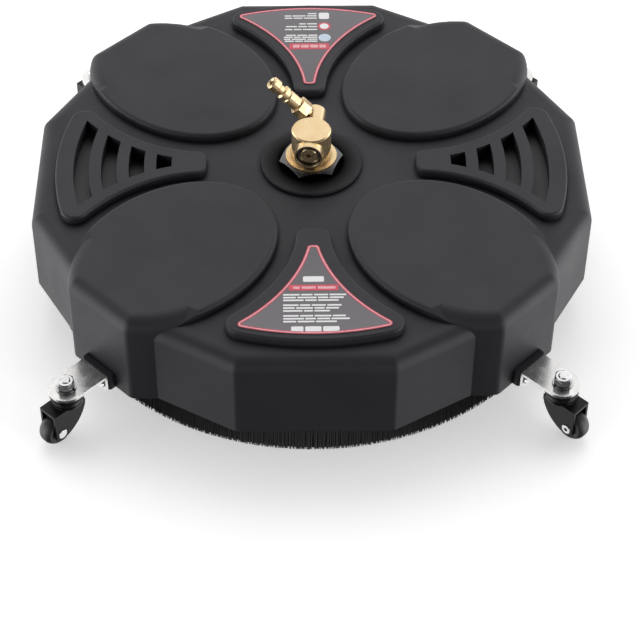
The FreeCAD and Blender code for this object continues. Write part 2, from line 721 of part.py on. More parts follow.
def leaning_cylinder(name, radius, start, length, along):
    """Cylinder square to the stem: down at the gallery (0), or along the plug (1)."""
    made = DOC.addObject("Part::Cylinder", name)
    tie(made, Radius=radius, Height=length)
    if along == "0":
        way = FreeCAD.Vector(0, 1, 0)
        across = 0.0
    else:
        angle = math.radians(value("plug_angle"))
        way = FreeCAD.Vector(-math.sin(angle), -math.cos(angle), 0)
        across = value("plug_centre")
    made.Placement = FreeCAD.Placement(way * value(start) + FreeCAD.Vector(0, 0, across),
                                       FreeCAD.Rotation(Z_AXIS, way))
    return made


def make_plug():
    """Quick-connect plug: spigot, hexagon, body, ball groove and tip, bored through."""
    points = [("plug_bore", "plug_base"), ("plug_bore+1.5", "plug_base"),
              ("plug_bore+1.5", "10.5"), ("plug_tip_radius", "10.5"),
              ("plug_tip_radius", "32"), ("plug_tip_radius-1", "33"),
              ("plug_tip_radius-1", "35"), ("plug_tip_radius+0.4", "35"),
              ("plug_tip_radius+0.4", "38.4"), ("plug_tip_radius-1.6", "39.6"),
              ("plug_tip_radius-1.6", "43.5"), ("plug_tip_radius", "45"),
              ("plug_tip_radius", "plug_reach-1"), ("plug_tip_radius-1", "plug_reach"),
              ("plug_bore+1.2", "plug_reach"), ("plug_bore", "plug_reach-1.2")]
    turned_part = lathe("plug_turned", points)
    nut = hex_ring("plug_hex", "plug_flats", "plug_bore", "11", "9.5")
    whole = joined("plug_whole", [turned_part, nut])
    frame = inlet_placement()
    angle = value("plug_angle")
    way = FreeCAD.Vector(-math.sin(math.radians(angle)), -math.cos(math.radians(angle)), 0)
    lean = FreeCAD.Placement(FreeCAD.Vector(0, 0, value("plug_centre")),
                             FreeCAD.Rotation(Z_AXIS, way))
    node(whole, "quick_plug", frame.multiply(lean))


# ---------------------------------------------------------------- rotor
def make_rotor():
    """Hollow shaft, bearing pieces, manifold, two arms, holders and nozzles."""
    spin = value("rotor_turn")
    collar_top = "bearing_low"
    node(lathe("shaft_body", [
        ("2.5", "shaft_foot"), ("bearing_inner", "shaft_foot"),
        ("bearing_inner", "manifold_high"), ("shaft_collar", "manifold_high"),
        ("shaft_collar", collar_top), ("bearing_inner", collar_top),
        ("bearing_inner", "bearing_low+2*bearing_high+race_gap"),
        ("bearing_inner-0.5", "bearing_low+2*bearing_high+race_gap"),
        ("bearing_inner-0.5", "bearing_low+2*bearing_high+race_gap+ring_thick"),
        ("bearing_inner", "bearing_low+2*bearing_high+race_gap+ring_thick"),
        ("bearing_inner", "shaft_end-0.6"), ("bearing_inner-0.6", "shaft_end"),
        ("2.5", "shaft_end")]), "rotor_shaft")
    node(race_pair("inner_race", "bearing_inner", "bearing_inner+inner_race_wall",
                   "-ball_radius-groove_clear"), "inner_races")
    node(ring("shaft_circlip_body", "bearing_inner+2.4", "bearing_inner-0.5",
              "bearing_low+2*bearing_high+race_gap",
              "bearing_low+2*bearing_high+race_gap+ring_thick"), "shaft_circlip")
    make_balls()
    make_manifold(spin)
    for side, angle in (("left", spin + 180), ("right", spin)):
        make_arm(side, angle)


def make_balls():
    """Seven balls in each of the two bearings."""
    balls = []
    for step in (0, 1):
        height = value("bearing_low+bearing_high/2+%d*(bearing_high+race_gap)" % step)
        for index, (x, y) in enumerate(around(7, 0, value("ball_circle"))):
            ball = DOC.addObject("Part::Sphere", "ball_%d_%d" % (step, index))
            tie(ball, Radius="ball_radius")
            ball.Placement = turned(0, at=(x, y, height))
            balls.append(ball)
    group = DOC.addObject("Part::Compound", "balls_group")
    group.Links = balls
    node(group, "bearing_balls")


def make_manifold(spin):
    """Square manifold block on the shaft's foot, cross-drilled for the arms."""
    body = new_body("manifold_body")
    drawing = new_sketch(body, height="manifold_low")
    half = "manifold_side/2"
    outline(drawing, [("-" + half, "-" + half), (half, "-" + half), (half, half),
                      ("-" + half, half)])
    block = pad(body, drawing, "manifold_high-manifold_low")
    DOC.recompute()
    edges = ["Edge%d" % index for index, edge in enumerate(block.Shape.Edges, start=1)
             if upright(edge)]
    soft = body.newObject("PartDesign::Chamfer", "manifold_chamfer")
    soft.Base = (block, edges)
    soft.Size = 4
    body.Tip = soft
    bore = new_sketch(body, height="shaft_foot")
    circle(bore, "bearing_inner")
    pocket(body, bore, "manifold_high-shaft_foot", reverse=True)
    for start, outward in (("arm_start", True), ("-arm_start", False)):
        side = new_sketch(body, "YZ_Plane", start)
        circle(side, "arm_radius", ("0", "arm_height"))
        pocket(body, side, "manifold_side", reverse=outward)
    node(body, "rotor_manifold", turned(spin))


def make_arm(side, angle):
    """One spray arm with its nozzle holder and nozzle, leaning so the jet turns it."""
    arm = new_body("arm_%s_body" % side)
    drawing = new_sketch(arm, "YZ_Plane", "arm_start")
    circle(drawing, "arm_radius", ("0", "arm_height"))
    circle(drawing, "arm_radius-arm_wall", ("0", "arm_height"))
    pad(arm, drawing, "arm_end-arm_start")
    node(arm, "spray_arm_" + side, turned(angle))
    lean = leaning_frame(angle)
    holder = lathe("holder_%s_turned" % side, [
        ("0", "holder_low"), ("holder_radius-1", "holder_low"), ("holder_radius", "holder_low+1"),
        ("holder_radius", "holder_high-2"), ("holder_radius-2", "holder_high"),
        ("0", "holder_high")])
    seat = DOC.addObject("Part::Cylinder", "seat_%s" % side)
    tie(seat, Radius="5", Height="12")
    seat.setExpression("Placement.Base.z", bind("holder_low"))
    socket = DOC.addObject("Part::Cylinder", "socket_%s" % side)
    tie(socket, Radius="arm_radius", Height="holder_radius+5")
    socket.Placement = FreeCAD.Placement(
        FreeCAD.Vector(value("arm_end-holder_circle"), 0, value("arm_height")),
        FreeCAD.Rotation(Y_AXIS, -90))
    way = DOC.addObject("Part::Cylinder", "way_%s" % side)
    tie(way, Radius="arm_radius-arm_wall", Height="12")
    way.Placement = FreeCAD.Placement(FreeCAD.Vector(3, 0, value("arm_height")),
                                      FreeCAD.Rotation(Y_AXIS, -90))
    tools = joined("holder_%s_tools" % side, [seat, socket, way])
    node(cut("holder_%s_cut" % side, holder, tools), "nozzle_holder_" + side, lean)
    make_nozzle(side, lean)


def leaning_frame(angle):
    """Frame at an arm's end, leaned about the arm."""
    spin = FreeCAD.Rotation(Z_AXIS, angle)
    height = value("arm_height")
    lean = FreeCAD.Rotation(X_AXIS, value("nozzle_lean"))
    shift = lean.multVec(FreeCAD.Vector(0, 0, -height))
    spot = FreeCAD.Vector(value("holder_circle"), 0, height) + shift
    return FreeCAD.Placement(spin.multVec(spot), spin.multiply(lean))


def make_nozzle(side, frame):
    """Threaded nozzle with a hexagon collar and a slotted conical tip."""
    screwed = lathe("nozzle_%s_turned" % side, [
        ("0", "nozzle_low"), ("3", "nozzle_low"), ("6", "nozzle_low+7"),
        ("6", "holder_low-6"), ("5", "holder_low-6"), ("5", "holder_low+11"),
        ("2", "holder_low+11"), ("2", "nozzle_low+4"), ("0", "nozzle_low+3")])
    collar = hex_ring("nozzle_%s_hex" % side, "14", "4", "holder_low-6", "6")
    whole = joined("nozzle_%s_whole" % side, [screwed, collar])
    slot = DOC.addObject("Part::Box", "nozzle_%s_slot" % side)
    tie(slot, Length="14", Width="1.2", Height="3.4")
    slot.Placement = turned(0, at=(-7, -0.6, value("nozzle_low")))
    node(cut("nozzle_%s_cut" % side, whole, slot), "nozzle_" + side, frame)


# ---------------------------------------------------------------- brush skirt
def make_brush():
    """Bristle ring, the channel that holds it, and eight screws."""
    seat = "carrier_top-carrier_thick"
    lip = "brush_inner-carrier_lip"
    blank = lathe("carrier_body", [
        ("carrier_inner", seat), (lip, seat), (lip, "carrier_low"), ("brush_inner", "carrier_low"),
        ("brush_inner", seat), ("brush_outer", seat), ("brush_outer", "carrier_low"),
        ("carrier_outer", "carrier_low"), ("carrier_outer", "carrier_top"),
        ("carrier_inner", "carrier_top")])
    drills = screw_posts("carrier_drill", "pilot_radius+0.4", "carrier_low", "30")
    node(cut("carrier_cut", blank, joined("carrier_tools", drills)), "brush_carrier")
    node(ring("bristles_body", "brush_outer", "brush_inner", "0", seat), "brush_bristles")
    screws = []
    for index, (x, y) in enumerate(around(8, 22.5, value("post_circle"))):
        shank = cylinder("screw_shank_%d" % index, "pilot_radius", seat,
                         "screw_reach-(%s)" % seat, turned(0, at=(x, y, 0)))
        cap = cylinder("screw_cap_%d" % index, "screw_head", seat + "-screw_head_high",
                       "screw_head_high", turned(0, at=(x, y, 0)))
        screws.append(joined("screw_%d" % index, [shank, cap]))
    group = DOC.addObject("Part::Compound", "screws_group")
    group.Links = screws
    node(group, "carrier_screws")


# ---------------------------------------------------------------- caster stations
def make_bracket(corner, angle):
    """Bent stainless plate: a leg on the housing's flat and a round-ended arm."""
    body = new_body("bracket_%s_body" % corner)
    half = "bracket_width/2"
    face = "oval_flat+seat_deep"
    plate = new_sketch(body, height="bracket_top-bracket_thick")
    outline(plate, [(face, "-" + half), ("swivel_offset", "-" + half, half + "+0.001"),
                    ("swivel_offset", half), (face, half)])
    circle(plate, "stud_radius+run_clear", ("swivel_offset", "0"))
    pad(body, plate, "bracket_thick")
    leg = new_sketch(body, height="rim")
    outline(leg, [(face, "-" + half), (face + "+bracket_thick", "-" + half),
                  (face + "+bracket_thick", half), (face, half)])
    pad(body, leg, "bracket_top-bracket_thick-rim")
    holes = new_sketch(body, "YZ_Plane", face + "-5")
    for side in ("-", ""):
        circle(holes, "bolt_radius+run_clear", (side + "bolt_spread", "bolt_height"))
    pocket(body, holes, "12", reverse=True)
    node(body, "caster_bracket_" + corner, turned(angle))


def group_of(name, label, builder):
    """Identical small pieces, one at each caster station, kept together in one node."""
    pieces = []
    for corner, angle in CORNERS.items():
        for piece in builder("%s_%s" % (name, corner)):
            piece.Placement = turned(angle).multiply(piece.Placement)
            pieces.append(piece)
    group = DOC.addObject("Part::Compound", name + "_group")
    group.Links = pieces
    node(group, label)


def lying(name, radius, length, out, across):
    """Cylinder whose axis runs outward from the hub at the bolt height."""
    made = DOC.addObject("Part::Cylinder", name)
    tie(made, Radius=radius, Height=length)
    made.Placement = FreeCAD.Placement(
        FreeCAD.Vector(value(out), across, value("bolt_height")), FreeCAD.Rotation(Y_AXIS, 90))
    return made


def bracket_bolts(name):
    """Two bolts through the leg and the housing wall."""
    made = []
    for index, side in enumerate((-1, 1)):
        across = side * value("bolt_spread")
        face = "oval_flat+seat_deep+bracket_thick"
        tail = "oval_flat-wall-bolt_nut_high-1.5"
        shank = lying("%s_shank_%d" % (name, index), "bolt_radius",
                      "(%s)-(%s)" % (face, tail), tail, across)
        cap = lying("%s_cap_%d" % (name, index), "bolt_head", "bolt_head_high", face, across)
        made.append(joined("%s_%d" % (name, index), [shank, cap]))
    return made


def bracket_nuts(name):
    """Two hexagon nuts inside the housing wall."""
    made = []
    for index, side in enumerate((-1, 1)):
        body = new_body("%s_%d" % (name, index))
        drawing = new_sketch(body, "YZ_Plane", "oval_flat-wall-bolt_nut_high")
        spot = ("%d*bolt_spread" % side, "bolt_height")
        hexagon(drawing, "bolt_nut_flats", spot)
        circle(drawing, "bolt_radius+run_clear", spot)
        pad(body, drawing, "bolt_nut_high")
        made.append(body)
    return made


def at_swivel(body):
    """Move a piece built on the Z axis out to the caster's swivel axis."""
    body.Placement = turned(0, at=(value("swivel_offset"), 0, 0))
    return [body]


def caster_studs(name):
    """Stud that the caster turns on, headed under the fork."""
    low = "fork_top-fork_plate-0.05"
    return at_swivel(lathe(name, [
        ("0", low + "-stud_head_high"), ("stud_head", low + "-stud_head_high"),
        ("stud_head", low), ("stud_radius", low), ("stud_radius", "stud_top-0.8"),
        ("stud_radius-0.8", "stud_top"), ("0", "stud_top")]))


def flat_washers(name):
    return at_swivel(ring(name, "flat_washer", "stud_radius+run_clear", "bracket_top",
                          "bracket_top+flat_washer_high"))


def spring_washers(name):
    low = "bracket_top+flat_washer_high"
    return at_swivel(ring(name, "spring_washer", "stud_radius+run_clear", low,
                          low + "+spring_washer_high"))


def caster_nuts(name):
    low = "bracket_top+flat_washer_high+spring_washer_high"
    return at_swivel(chamfered_nut(name, "stud_nut_flats", "stud_radius+run_clear", low,
                                   "stud_nut_high", "0.4"))


def upper_races(name):
    """Fixed ridged cup under the bracket."""
    return at_swivel(lathe(name, [
        ("stud_radius+run_clear", "race_split+0.1"), ("upper_race-0.8", "race_split+0.1"),
        ("upper_race", "race_split+0.9"), ("upper_race", "race_split+2.1"),
        ("upper_race-1", "race_split+2.7"), ("upper_race", "race_split+3.3"),
        ("upper_race", "race_top"), ("stud_radius+run_clear", "race_top")]))


def make_fork(corner, angle):
    """Hooded fork, open towards the wheel side, with the lower race seat on top."""
    body = new_body("fork_%s_body" % corner)
    side = new_sketch(body, "XZ_Plane")
    outline(side, [
        ("fork_front", "fork_top"), ("-fork_back", "fork_top"), ("-fork_back", "fork_top-4", "34"),
        ("axle_offset-4.5", "axle_height-6", "cheek_round"),
        ("fork_front", "axle_height-4.5")])
    pad(body, side, "fork_width", middle=True)
    slot = new_sketch(body, "XZ_Plane")
    outline(slot, [("-fork_back+cheek", "0"), ("fork_front+9", "0"),
                   ("fork_front+9", "fork_top-fork_plate"),
                   ("-fork_back+cheek", "fork_top-fork_plate")])
    pocket(body, slot, "fork_width-2*cheek", middle=True)
    stud_hole = new_sketch(body, height="fork_top+1")
    circle(stud_hole, "stud_radius+run_clear")
    pocket(body, stud_hole, "fork_plate+2")
    axle_hole = new_sketch(body, "XZ_Plane")
    circle(axle_hole, "axle_radius+run_clear", ("axle_offset", "axle_height"))
    pocket(body, axle_hole, "2*fork_width", middle=True)
    node(body, "caster_fork_" + corner, station(angle))


def station(angle):
    """Frame of one caster: origin on its swivel axis, X pointing away from the hub."""
    return turned(angle).multiply(turned(0, at=(value("swivel_offset"), 0, 0)))


def make_lower_race(corner, angle):
    """Ridged cup that turns with the fork."""
    node(lathe("lower_race_%s_body" % corner, [
        ("stud_radius+run_clear", "fork_top"), ("lower_race", "fork_top"),
        ("lower_race", "fork_top+1.6"), ("lower_race-1", "fork_top+2.2"),
        ("lower_race", "fork_top+2.8"), ("lower_race", "race_split-0.8"),
        ("lower_race-0.8", "race_split"), ("stud_radius+run_clear", "race_split")]),
        "caster_race_" + corner, station(angle))


def across_frame(angle):
    """Frame on the axle, local Z running along it."""
    lay = FreeCAD.Placement(FreeCAD.Vector(value("axle_offset"), 0, value("axle_height")),
                            FreeCAD.Rotation(X_AXIS, 90))
    return station(angle).multiply(lay)


def make_axle(corner, angle):
    """Headed rivet through both cheeks, hollow at one end."""
    end = "fork_width/2"
    cap = end + "+rivet_head_high"
    node(lathe("axle_%s_body" % corner, [
        ("0", "-(%s)" % cap), ("rivet_head-0.5", "-(%s)" % cap), ("rivet_head", "-(%s)+0.5" % cap),
        ("rivet_head", "-(%s)" % end), ("axle_radius", "-(%s)" % end), ("axle_radius", end),
        ("rivet_head", end), ("rivet_head", cap + "-0.5"), ("rivet_head-0.5", cap),
        ("1.6", cap), ("1.6", "%s-4" % cap), ("0", "%s-4" % cap)]),
        "caster_axle_" + corner, across_frame(angle))


def make_wheel(corner, angle):
    """Solid wheel with a rounded tread."""
    half = "wheel_width/2"
    edge = "wheel_radius-tread_round+2.4"
    node(lathe("wheel_%s_body" % corner, [
        ("axle_radius+run_clear", "-" + half), ("5", "-" + half), ("5.6", "-%s+0.8" % half),
        ("8.4", "-%s+0.8" % half), ("9", "-" + half), (edge, "-" + half, "7.2"),
        ("wheel_radius", "-1.2"), ("wheel_radius", "1.2", "7.2"),
        (edge, half), ("9", half), ("8.4", "%s-0.8" % half), ("5.6", "%s-0.8" % half),
        ("5", half), ("axle_radius+run_clear", half)]),
        "caster_wheel_" + corner, across_frame(angle))


def make_casters():
    for corner, angle in CORNERS.items():
        make_bracket(corner, angle)
    group_of("bracket_bolts", "bracket_bolts", bracket_bolts)
    group_of("bracket_nuts", "bracket_nuts", bracket_nuts)
    group_of("studs", "caster_studs", caster_studs)
    group_of("upper_races", "caster_upper_races", upper_races)
    group_of("flat_washers", "caster_washers", flat_washers)
    group_of("spring_washers", "caster_spring_washers", spring_washers)
    group_of("stud_nuts", "caster_nuts", caster_nuts)
    for corner, angle in CORNERS.items():
        make_fork(corner, angle)
        make_lower_race(corner, angle)
        make_axle(corner, angle)
        make_wheel(corner, angle)


# ---------------------------------------------------------------- checks and export
def check_and_write():
    """Refuse to write anything when an object failed or a sub-part isn't a valid solid."""
    DOC.recompute()
    failed = []
    for thing in DOC.Objects:
        if "Invalid" in thing.State or "Error" in thing.State:
            failed.append(thing.Name)
    assert not failed, failed
    for part in NODES:
        shape = part.Shape
        assert not shape.isNull() and shape.isValid() and shape.Solids, part.Label
    os.makedirs("parts", exist_ok=True)
    for part in NODES:
        part.Shape.exportStep(os.path.join("parts", part.Label + ".step"))
        print("%-28s solids %2d  volume %10.0f" % (part.Label, len(part.Shape.Solids),
                                                   part.Shape.Volume))
    print(len(NODES), "sub-parts")


fill_sheet()
make_housing()
make_baffles()
make_label("front_label", -90)
make_label("rear_label", 90)
make_swivel_body()
make_hub_stack()
make_inlet()
make_rotor()
make_brush()
make_casters()
check_and_write()
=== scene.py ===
import json
import math
import random

import bmesh
import bpy
from mathutils import Matrix, Vector


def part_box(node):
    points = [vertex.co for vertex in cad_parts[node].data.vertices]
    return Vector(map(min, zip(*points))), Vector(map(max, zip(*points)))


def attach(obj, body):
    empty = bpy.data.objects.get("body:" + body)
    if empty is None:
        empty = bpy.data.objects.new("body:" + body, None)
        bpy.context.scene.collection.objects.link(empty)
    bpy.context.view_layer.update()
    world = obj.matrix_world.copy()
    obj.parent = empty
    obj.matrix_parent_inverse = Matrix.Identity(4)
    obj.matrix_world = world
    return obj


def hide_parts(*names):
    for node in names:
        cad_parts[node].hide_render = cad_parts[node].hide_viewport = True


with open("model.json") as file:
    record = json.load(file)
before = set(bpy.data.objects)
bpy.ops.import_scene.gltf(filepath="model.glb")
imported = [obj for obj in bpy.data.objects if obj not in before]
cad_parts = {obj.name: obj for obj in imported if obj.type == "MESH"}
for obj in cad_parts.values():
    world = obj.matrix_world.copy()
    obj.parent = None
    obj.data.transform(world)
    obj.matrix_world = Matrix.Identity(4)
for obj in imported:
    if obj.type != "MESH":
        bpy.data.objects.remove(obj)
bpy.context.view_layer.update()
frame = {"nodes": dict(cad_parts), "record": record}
NODES = frame["nodes"]
MM = 0.001

# Camera: where it stands round the hub axis, and its lens
ELEVATION = 42.886
AZIMUTH = -1.039
ROLL = 0.257
DISTANCE = 1.73264
AIM_HEIGHT = 0.033
LENS = 112.09
SHIFT = (0.01423, -0.12625)
SENSOR = 36
CLIP = (0.05, 50)


# ---------------------------------------------------------------- node helpers
def plug(tree, socket, value):
    """Link a socket, or set a plain value."""
    if isinstance(value, bpy.types.NodeSocket):
        tree.links.new(value, socket)
    elif isinstance(value, tuple) and len(value) == 3 and socket.type == "RGBA":
        socket.default_value = value + (1.0,)
    else:
        socket.default_value = value


def add(tree, kind, inputs=None, **settings):
    """Node with its settings and its inputs filled in."""
    made = tree.nodes.new(kind)
    for name, value in settings.items():
        setattr(made, name, value)
    for name, value in (inputs or {}).items():
        plug(tree, made.inputs[name], value)
    return made


def maths(tree, operation, first, second=0.0):
    """Result of one arithmetic node."""
    return add(tree, "ShaderNodeMath", {0: first, 1: second}, operation=operation).outputs[0]


def place(tree, scale=(1.0, 1.0, 1.0)):
    """Position on the object, stretched per axis."""
    spot = add(tree, "ShaderNodeTexCoord").outputs["Object"]
    return add(tree, "ShaderNodeMapping", {"Vector": spot, "Scale": scale}).outputs[0]


def parts_of(tree, where):
    """The x, y and z sockets of a vector."""
    return add(tree, "ShaderNodeSeparateXYZ", {0: where}).outputs


def round_axis(tree, radial=1.0, around=1.0, up=1.0):
    """Position as (distance from the hub axis, turn about it, height), each scaled."""
    parts = parts_of(tree, place(tree))
    squares = maths(tree, "ADD", maths(tree, "MULTIPLY", parts[0], parts[0]),
                    maths(tree, "MULTIPLY", parts[1], parts[1]))
    reach = maths(tree, "MULTIPLY", maths(tree, "SQRT", squares), radial)
    turn = maths(tree, "MULTIPLY", maths(tree, "ARCTAN2", parts[1], parts[0]), around)
    rise = maths(tree, "MULTIPLY", parts[2], up)
    return add(tree, "ShaderNodeCombineXYZ", {0: reach, 1: turn, 2: rise}).outputs[0]


def noise(tree, where, scale, detail=3.0, rough=0.55):
    return add(tree, "ShaderNodeTexNoise", {"Vector": where, "Scale": scale, "Detail": detail,
                                            "Roughness": rough}).outputs[0]


def spread(tree, value, low, high, to_low=0.0, to_high=1.0):
    """Map a range to another, held at its ends."""
    return add(tree, "ShaderNodeMapRange",
               {"Value": value, "From Min": low, "From Max": high, "To Min": to_low,
                "To Max": to_high}).outputs[0]


def mottled(tree, where, scale, detail):
    """Noise stretched over its middle range, from 0 to 1."""
    return spread(tree, noise(tree, where, scale, detail), 0.35, 0.65)


def hazy(tree, where, scale, detail, low, high):
    """Noise stretched over its middle range, from a low to a high roughness."""
    return spread(tree, noise(tree, where, scale, detail), 0.3, 0.7, low, high)


def blended(tree, factor, first, second):
    """Mix of two colours: the first at factor 0, the second at 1."""
    made = add(tree, "ShaderNodeMix", data_type="RGBA")
    colours = [socket for socket in made.inputs if socket.type == "RGBA"]
    plug(tree, made.inputs[0], factor)
    plug(tree, colours[0], first)
    plug(tree, colours[1], second)
    return [socket for socket in made.outputs if socket.type == "RGBA"][0]


def soft_edge(tree, radius):
    """Normal rounded off at edges."""
    return add(tree, "ShaderNodeBevel", {"Radius": radius}, samples=4).outputs[0]


def edge_mask(tree, normal):
    """1 on outer and inner edges, 0 on open faces."""
    true = add(tree, "ShaderNodeNewGeometry").outputs["Normal"]
    same = add(tree, "ShaderNodeVectorMath", {0: normal, 1: true},
               operation="DOT_PRODUCT").outputs["Value"]
    return spread(tree, same, 0.995, 0.86)


def relief(tree, height, depth, normal=None):
    """Bump of a given depth in metres."""
    made = add(tree, "ShaderNodeBump", {"Height": height, "Distance": depth, "Strength": 1.0})
    if normal is not None:
        plug(tree, made.inputs["Normal"], normal)
    return made.outputs[0]


def finish_of(name, colour, roughness, normal, metallic=0.0, specular=0.5, coat=0.0,
              coat_roughness=0.1):
    """Turn on a function that builds a surface; its values may be numbers or sockets."""
    made = bpy.data.materials.new(name)
    made.use_nodes = True
    tree = made.node_tree
    shader = tree.nodes["Principled BSDF"]
    values = {"Base Color": colour, "Roughness": roughness, "Normal": normal,
              "Metallic": metallic, "Specular IOR Level": specular, "Coat Weight": coat,
              "Coat Roughness": coat_roughness}
    for socket, value in values.items():
        plug(tree, shader.inputs[socket], value(tree) if callable(value) else value)
    return made


# ---------------------------------------------------------------- materials
# Painted shade in creases: its near-black tone, and the occlusion share over which it fades in
PAINTED_CREASE_SHADE = (0.002, 0.002, 0.002)
CREASE_SHARE = (0.25, 0.80)
# Reach of the painted shade in metal hollows
HOLLOW_REACH = 0.005
# Distances from the hub axis over which the painted shade round the clamp nut fades out
HUB_RING = (0.027, 0.048)
FILM_RUN = (0.095, 0.205)
FLOOR_GLOW = 0.45


def crevice(tree, reach):
    """0 deep in creases and corners, 1 on open faces; the mask for painted shade."""
    open_share = add(tree, "ShaderNodeAmbientOcclusion", {"Distance": reach}, samples=8).outputs["AO"]
    return spread(tree, open_share, *CREASE_SHARE)


def hub_shade(tree):
    """0 beside the clamp nut, 1 past the hub boss: a dark ring, matched."""
    return spread(tree, parts_of(tree, round_axis(tree))[0], *HUB_RING)


def moulded(name, dark, light, roughness, grain, specular=0.5, edge=0.0004, wear_and_highlight=(0.12, 0.12, 0.13),
            crease=0.0):
    """Injection moulded plastic: spark-eroded grain, cloudy tone, pale rubbed edges that are partly
    wear and partly painted highlight, and painted dark shade in creases and round the clamp nut.
    """
    # Share left unshaded: painted shade from the crease mask and from the dark ring round the clamp
    # nut
    def unshaded_share(tree):
        return maths(tree, "MULTIPLY", crevice(tree, crease), hub_shade(tree))

    def colour(tree):
        cloud = noise(tree, place(tree), 9.0, 4.0)
        speck = noise(tree, place(tree), 2600.0, 2.0)
        tone = spread(tree, maths(tree, "ADD", maths(tree, "MULTIPLY", cloud, 0.75),
                                  maths(tree, "MULTIPLY", speck, 0.25)), 0.35, 0.65)
        base = blended(tree, tone, dark, light)
        # Pale edges: partly wear and partly a painted highlight along rounded edges
        rub_and_highlight = maths(tree, "MULTIPLY", edge_mask(tree, soft_edge(tree, edge)),
                    spread(tree, noise(tree, place(tree), 60.0, 5.0), 0.45, 0.75, 0.05, 0.6))
        base = blended(tree, rub_and_highlight, base, wear_and_highlight)
        # Creases and the ring round the clamp nut are painted near black: painted shade
        return blended(tree, unshaded_share(tree), PAINTED_CREASE_SHADE, base) if crease else base

    def gloss(tree):
        patch = noise(tree, place(tree), 28.0, 5.0)
        scuff = noise(tree, place(tree, (40.0, 900.0, 900.0)), 1.0, 3.0)
        both = maths(tree, "ADD", maths(tree, "MULTIPLY", patch, 0.7),
                     maths(tree, "MULTIPLY", scuff, 0.3))
        return spread(tree, both, 0.3, 0.7, roughness - 0.07, roughness + 0.08)

    def normal(tree):
        fine = noise(tree, place(tree), 2200.0, 2.0, 0.6)
        waves = noise(tree, place(tree), 16.0, 2.0)
        skin = relief(tree, fine, grain, soft_edge(tree, edge))
        return relief(tree, waves, 0.00012, skin)

    # Specular is dimmed where the shade is painted
    def shine(tree):
        return maths(tree, "MULTIPLY", unshaded_share(tree), specular) if crease else specular
    return finish_of(name, colour, gloss, normal, specular=shine)


def metal(name, dark, light, roughness, marks, edge=0.00025, thread=0.0, stain=(0.35, 0.28, 0.18),
          stained=0.12, coat=0.0, depth=0.000006, hollow_shade=None, side=None, metallic=1.0):
    """Bare or plated metal: tool marks, faint stains, brighter edges, and, where asked, painted shade
    in hollows and on sides that do not face up.
    """
    def colour(tree):
        base = blended(tree, mottled(tree, place(tree), 55.0, 5.0), dark, light)
        spots = spread(tree, noise(tree, place(tree), 230.0, 6.0, 0.7), 0.56, 0.72, 0.0, stained)
        base = blended(tree, spots, base, stain)
        # Sides that do not face up are painted dark: painted shade; faces that point up keep the lit
        # colour
        if side:
            facing = add(tree, "ShaderNodeNewGeometry").outputs["Normal"]
            top_lit_share = spread(tree, parts_of(tree, facing)[2], 0.5, 0.95)
            base = blended(tree, top_lit_share, side, base)
        # Hollows are painted dark: painted shade
        return blended(tree, crevice(tree, HOLLOW_REACH), hollow_shade, base) if hollow_shade else base

    def gloss(tree):
        return hazy(tree, place(tree), 120.0, 4.0, roughness * 0.75, roughness * 1.35)

    def normal(tree):
        made = soft_edge(tree, edge)
        if thread:
            height = parts_of(tree, place(tree))[2]
            turns = maths(tree, "MULTIPLY", height, 2 * math.pi / thread)
            made = relief(tree, maths(tree, "SINE", turns), 0.00022, made)
        return relief(tree, noise(tree, marks(tree), 1.0, 2.0, 0.5), depth, made)
    return finish_of(name, colour, gloss, normal, metallic=metallic, coat=coat)


def turned_marks(tree):
    """Fine rings left by a lathe."""
    return round_axis(tree, 3500.0, 2.0, 3500.0)


def brushed_marks(tree):
    """Fine strokes running outwards from the axis."""
    return round_axis(tree, 60.0, 900.0, 1500.0)


def drawn_marks(tree):
    """Fine lines across the height."""
    return place(tree, (500.0, 500.0, 2500.0))


def plain_marks(tree):
    """Fine marks with no direction."""
    return place(tree, (900.0, 900.0, 900.0))


def bristle_material():
    """Black nylon strands: tone changes from strand to strand, dusty tips."""
    def colour(tree):
        strand = mottled(tree, round_axis(tree, 500.0, 330.0, 4.0), 1.0, 2.0)
        base = blended(tree, strand, (0.004, 0.004, 0.004), (0.030, 0.030, 0.031))
        tips = spread(tree, parts_of(tree, place(tree))[2], 0.010, 0.0, 0.0, 0.35)
        dusty = maths(tree, "MULTIPLY", tips, noise(tree, place(tree), 300.0, 4.0))
        return blended(tree, dusty, base, (0.10, 0.10, 0.095))

    def gloss(tree):
        return hazy(tree, round_axis(tree, 300.0, 250.0, 10.0), 1.0, 3.0, 0.38, 0.6)

    def normal(tree):
        return relief(tree, noise(tree, round_axis(tree, 900.0, 900.0, 12.0), 1.0), 0.0001)
    return finish_of("bristle_nylon_look", colour, gloss, normal, specular=0.35)


def film_material():
    """Printed film: grey that lightens outwards, fine halftone grain, satin face."""
    def colour(tree):
        out = spread(tree, parts_of(tree, round_axis(tree))[0], *FILM_RUN)
        base = blended(tree, out, (0.112, 0.103, 0.114), (0.160, 0.147, 0.161))
        dots = spread(tree, noise(tree, place(tree), 3000.0, 1.0), 0.4, 0.6, 0.0, 0.10)
        return blended(tree, dots, base, (0.30, 0.29, 0.31))

    def gloss(tree):
        return hazy(tree, place(tree), 80.0, 4.0, 0.30, 0.42)

    def normal(tree):
        return relief(tree, noise(tree, place(tree), 260.0, 2.0), 0.00004)
    return finish_of("label_film_look", colour, gloss, normal, coat=0.2, coat_roughness=0.25)


def print_material(name, dark, light):
    """Screen-printed ink with slightly uneven cover."""
    def colour(tree):
        return blended(tree, mottled(tree, place(tree), 420.0, 5.0), dark, light)

    def gloss(tree):
        return hazy(tree, place(tree), 900.0, 3.0, 0.26, 0.40)

    def normal(tree):
        return relief(tree, noise(tree, place(tree), 1500.0, 2.0), 0.00002)
    return finish_of(name, colour, gloss, normal, coat=0.15, coat_roughness=0.2)


